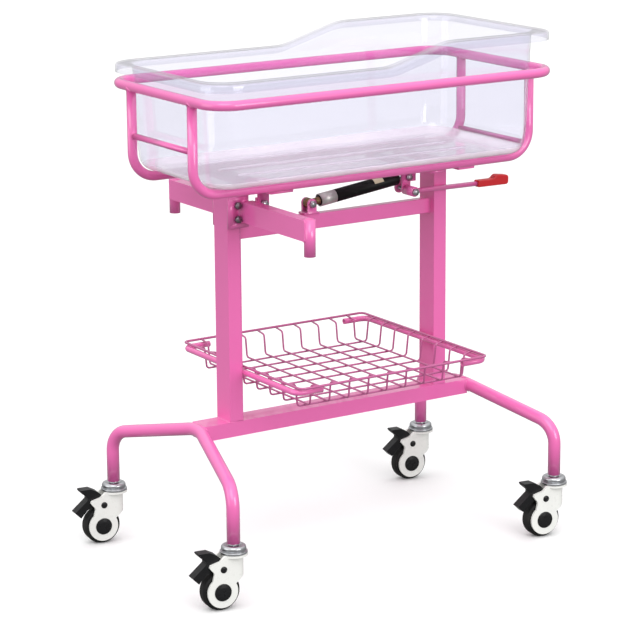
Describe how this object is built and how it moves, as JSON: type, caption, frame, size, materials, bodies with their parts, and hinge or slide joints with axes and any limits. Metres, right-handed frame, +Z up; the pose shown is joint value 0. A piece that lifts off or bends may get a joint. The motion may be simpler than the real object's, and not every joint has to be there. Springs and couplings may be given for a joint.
{
  "type": "hospital bassinet",
  "caption": "Wheeled hospital bassinet: clear raised-end tub in a gas-sprung tilting tube frame on two posts, with a wire basket, pole sockets and braked casters.",
  "frame": {"origin": "on the floor under the middle of the whole outline, casters trailing towards the foot end", "axes": "+X towards the head end, where the tub's rim is raised and the release lever points; +Y towards the rear, away from the release lever's side; +Z up"},
  "size_m": [0.8776, 0.522, 1.023],
  "materials": {
    "pink_coat": "glossy powder coat",
    "zinc_fastener": "zinc plated",
    "zinc_head": "zinc plated",
    "black_plastic": "moulded black plastic",
    "black_cap": "moulded cap over the axle",
    "black_rubber": "matt rubber",
    "black_enamel": "black enamel",
    "spring_alloy": "satin",
    "chrome_rod": "ground and chromed",
    "red_grip": "moulded red plastic",
    "clear_plastic": "clear polished plastic",
    "white_shell": "white nylon",
    "white_hub": "white nylon",
    "caster_tyre": "matt black tread"
  },
  "bodies": {
    "stand": {"leg_tube_foot": "pink_coat", "leg_tube_head": "pink_coat", "leg_plugs": "zinc_fastener", "base_beam": "pink_coat", "foot_post": "pink_coat", "head_post": "pink_coat", "upper_stretcher": "pink_coat", "pole_arm_front": "pink_coat", "pole_arm_rear": "pink_coat", "pole_socket_front": "pink_coat", "pole_socket_rear": "pink_coat", "arm_plates": "pink_coat", "arm_bolts": "zinc_fastener", "hinge_lugs": "pink_coat", "hinge_bolts": "zinc_fastener", "post_cap": "black_plastic", "rest_pad": "black_rubber", "spring_clevis": "pink_coat", "spring_clevis_pin": "zinc_fastener", "basket_bracket_foot": "pink_coat", "basket_bracket_head": "pink_coat", "caster_heads": "zinc_head", "caster_stems": "zinc_fastener", "caster_nuts": "zinc_fastener"},
    "tub_frame": {"top_rail": "pink_coat", "long_tube_front": "pink_coat", "long_tube_rear": "pink_coat", "end_rods": "pink_coat", "hinge_bracket": "pink_coat", "release_bracket": "pink_coat", "bracket_pins": "zinc_fastener", "rest_bar": "pink_coat"},
    "tub": {"tub": "clear_plastic"},
    "spring_cylinder": {"spring_cylinder": "black_enamel", "spring_sleeve": "spring_alloy"},
    "spring_rod": {"spring_rod": "chrome_rod"},
    "lever": {"release_lever": "pink_coat", "lever_grip": "red_grip"},
    "basket": {"basket_rim": "pink_coat", "basket_wires": "pink_coat"},
    "fork_foot_front": {"caster_fork_foot_front": "white_shell", "caster_pins_foot_front": "black_cap"},
    "wheel_foot_front": {"caster_tyre_foot_front": "caster_tyre", "caster_hub_foot_front": "white_hub"},
    "pedal_foot_front": {"brake_pedal_foot_front": "black_plastic"},
    "fork_foot_rear": {"caster_fork_foot_rear": "white_shell", "caster_pins_foot_rear": "black_cap"},
    "wheel_foot_rear": {"caster_tyre_foot_rear": "caster_tyre", "caster_hub_foot_rear": "white_hub"},
    "pedal_foot_rear": {"brake_pedal_foot_rear": "black_plastic"},
    "fork_head_front": {"caster_fork_head_front": "white_shell", "caster_pins_head_front": "black_cap"},
    "wheel_head_front": {"caster_tyre_head_front": "caster_tyre", "caster_hub_head_front": "white_hub"},
    "pedal_head_front": {"brake_pedal_head_front": "black_plastic"},
    "fork_head_rear": {"caster_fork_head_rear": "white_shell", "caster_pins_head_rear": "black_cap"},
    "wheel_head_rear": {"caster_tyre_head_rear": "caster_tyre", "caster_hub_head_rear": "white_hub"},
    "pedal_head_rear": {"brake_pedal_head_rear": "black_plastic"}
  },
  "joints": [
    {"name": "frame_tilt", "type": "hinge", "parent": "stand", "child": "tub_frame", "pos_m": [-0.15916, 0, 0.721], "axis": [0, -1, 0], "range_deg": [0, 12]},
    {"name": "tub_lift", "type": "slide", "parent": "tub_frame", "child": "tub", "axis": [0, 0, 1], "range_m": [0, 0.26]},
    {"name": "spring_pivot", "type": "hinge", "parent": "stand", "child": "spring_cylinder", "pos_m": [-0.02516, 0, 0.699], "axis": [0, -1, 0], "range_deg": [0, 18.3]},
    {"name": "spring_stroke", "type": "slide", "parent": "spring_cylinder", "child": "spring_rod", "axis": [0.9921, 0, 0.1251], "range_m": [0, 0.0117]},
    {"name": "lever_squeeze", "type": "hinge", "parent": "tub_frame", "child": "lever", "pos_m": [0.19884, -0.034, 0.703], "axis": [0, -1, 0], "range_deg": [0, 10], "stiffness_Nm_per_rad": 0.6, "springref_deg": -34.38},
    {"name": "basket_lift", "type": "slide", "parent": "stand", "child": "basket", "axis": [0, 0, 1], "range_m": [0, 0.15]},
    {"name": "swivel_foot_front", "type": "hinge", "parent": "stand", "child": "fork_foot_front", "pos_m": [-0.35016, -0.234, 0.107], "axis": [0, 0, 1], "continuous": true},
    {"name": "roll_foot_front", "type": "hinge", "parent": "fork_foot_front", "child": "wheel_foot_front", "pos_m": [-0.37987, -0.22982, 0.0375], "axis": [0.1392, 0.9903, 0], "continuous": true},
    {"name": "brake_foot_front", "type": "hinge", "parent": "fork_foot_front", "child": "pedal_foot_front", "pos_m": [-0.37789, -0.2301, 0.082], "axis": [-0.1392, -0.9903, 0], "range_deg": [0, 12]},
    {"name": "swivel_foot_rear", "type": "hinge", "parent": "stand", "child": "fork_foot_rear", "pos_m": [-0.35016, 0.234, 0.107], "axis": [0, 0, 1], "continuous": true},
    {"name": "roll_foot_rear", "type": "hinge", "parent": "fork_foot_rear", "child": "wheel_foot_rear", "pos_m": [-0.37987, 0.23818, 0.0375], "axis": [0.1392, 0.9903, 0], "continuous": true},
    {"name": "brake_foot_rear", "type": "hinge", "parent": "fork_foot_rear", "child": "pedal_foot_rear", "pos_m": [-0.37789, 0.2379, 0.082], "axis": [-0.1392, -0.9903, 0], "range_deg": [0, 12]},
    {"name": "swivel_head_front", "type": "hinge", "parent": "stand", "child": "fork_head_front", "pos_m": [0.41184, -0.234, 0.107], "axis": [0, 0, 1], "continuous": true},
    {"name": "roll_head_front", "type": "hinge", "parent": "fork_head_front", "child": "wheel_head_front", "pos_m": [0.38213, -0.22982, 0.0375], "axis": [0.1392, 0.9903, 0], "continuous": true},
    {"name": "brake_head_front", "type": "hinge", "parent": "fork_head_front", "child": "pedal_head_front", "pos_m": [0.38411, -0.2301, 0.082], "axis": [-0.1392, -0.9903, 0], "range_deg": [0, 12]},
    {"name": "swivel_head_rear", "type": "hinge", "parent": "stand", "child": "fork_head_rear", "pos_m": [0.41184, 0.234, 0.107], "axis": [0, 0, 1], "continuous": true},
    {"name": "roll_head_rear", "type": "hinge", "parent": "fork_head_rear", "child": "wheel_head_rear", "pos_m": [0.38213, 0.23818, 0.0375], "axis": [0.1392, 0.9903, 0], "continuous": true},
    {"name": "brake_head_rear", "type": "hinge", "parent": "fork_head_rear", "child": "pedal_head_rear", "pos_m": [0.38411, 0.2379, 0.082], "axis": [-0.1392, -0.9903, 0], "range_deg": [0, 12]}
  ],
  "couplings": [
    {"joint": "spring_pivot", "follows": "frame_tilt", "ratio": 1.5225},
    {"joint": "spring_stroke", "follows": "frame_tilt", "m_per_rad": 0.055273}
  ]
}
